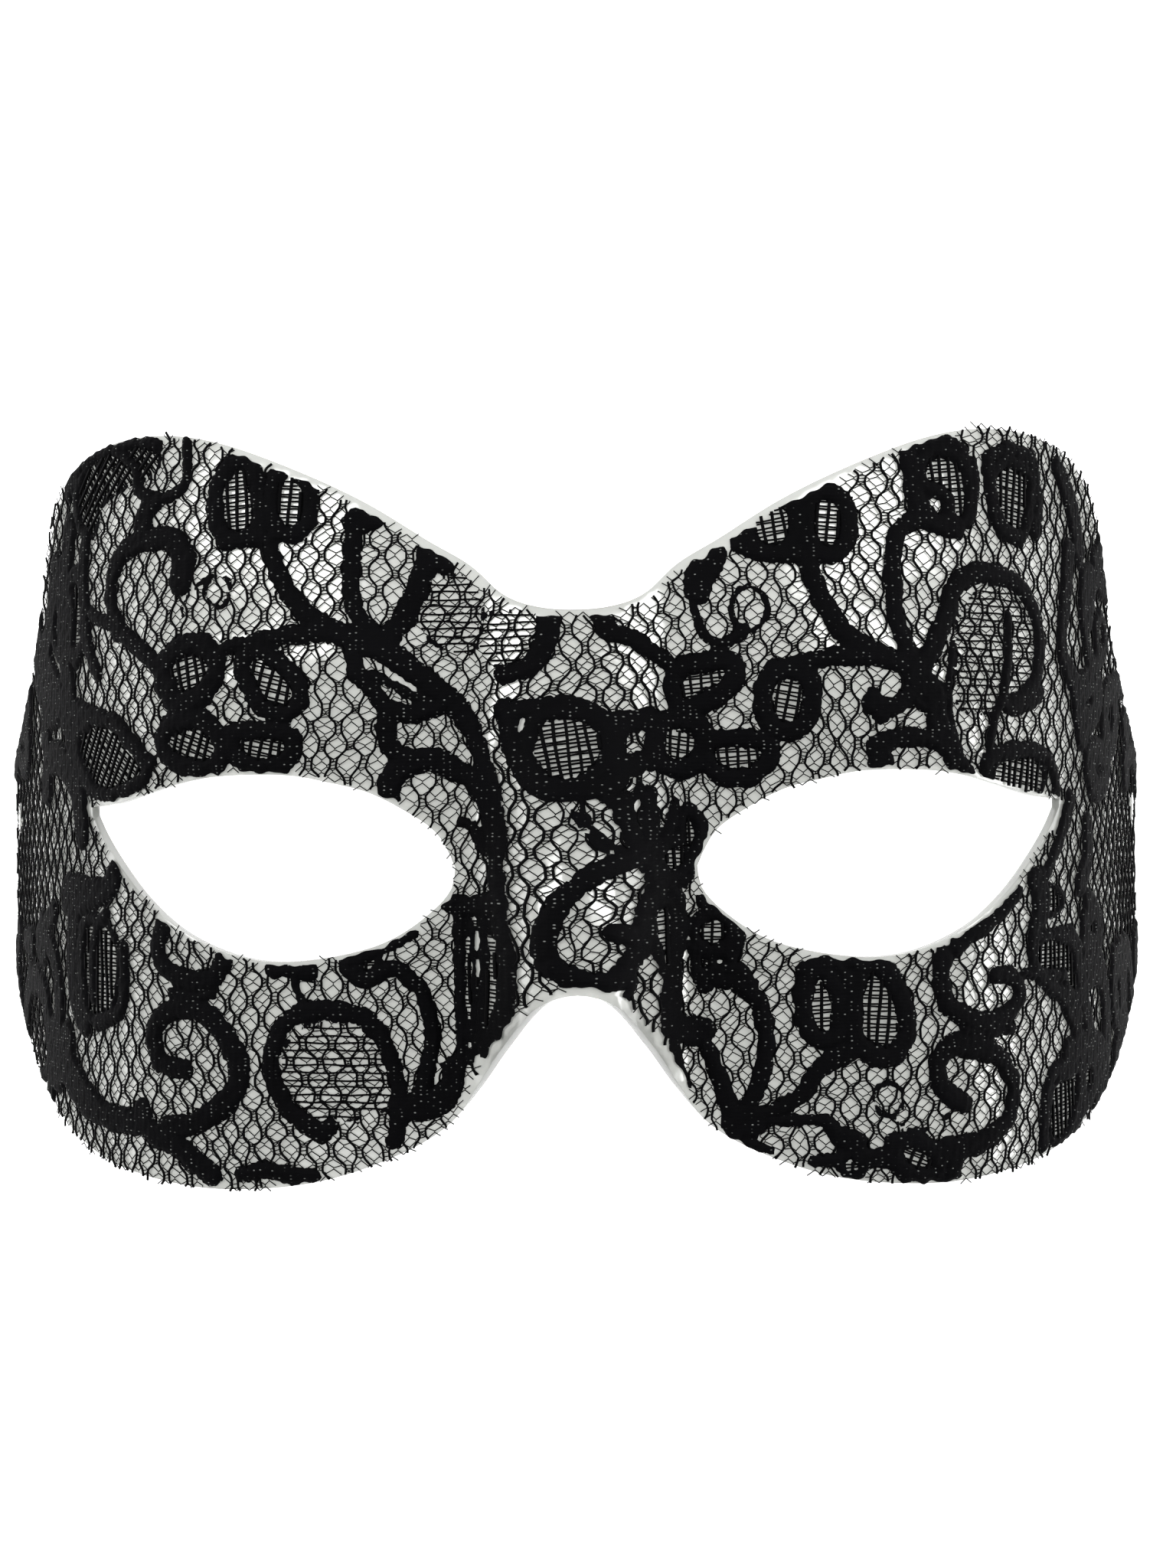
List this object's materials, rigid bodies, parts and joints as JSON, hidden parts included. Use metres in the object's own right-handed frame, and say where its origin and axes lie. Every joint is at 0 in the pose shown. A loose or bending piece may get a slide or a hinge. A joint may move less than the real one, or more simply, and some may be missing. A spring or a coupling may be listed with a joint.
{
  "type": "lace half mask",
  "caption": "Wrap-around half mask: a clear moulded shell with a nose ridge and two eye openings, covered in black floral lace.",
  "frame": {"origin": "middle of the mask's footprint, on the surface that its rear edges rest on", "axes": "+X to the viewer's right across the face, +Y towards the forehead, +Z out of the face"},
  "size_m": [0.1632, 0.0944, 0.0778],
  "materials": {
    "clear_plastic": "clear glossy moulded sheet, slightly grey",
    "black_lace": "black cotton thread lace with a faint sheen"
  },
  "bodies": {
    "root": {"mask_shell": "clear_plastic", "lace_cover": "black_lace"}
  },
  "joints": []
}
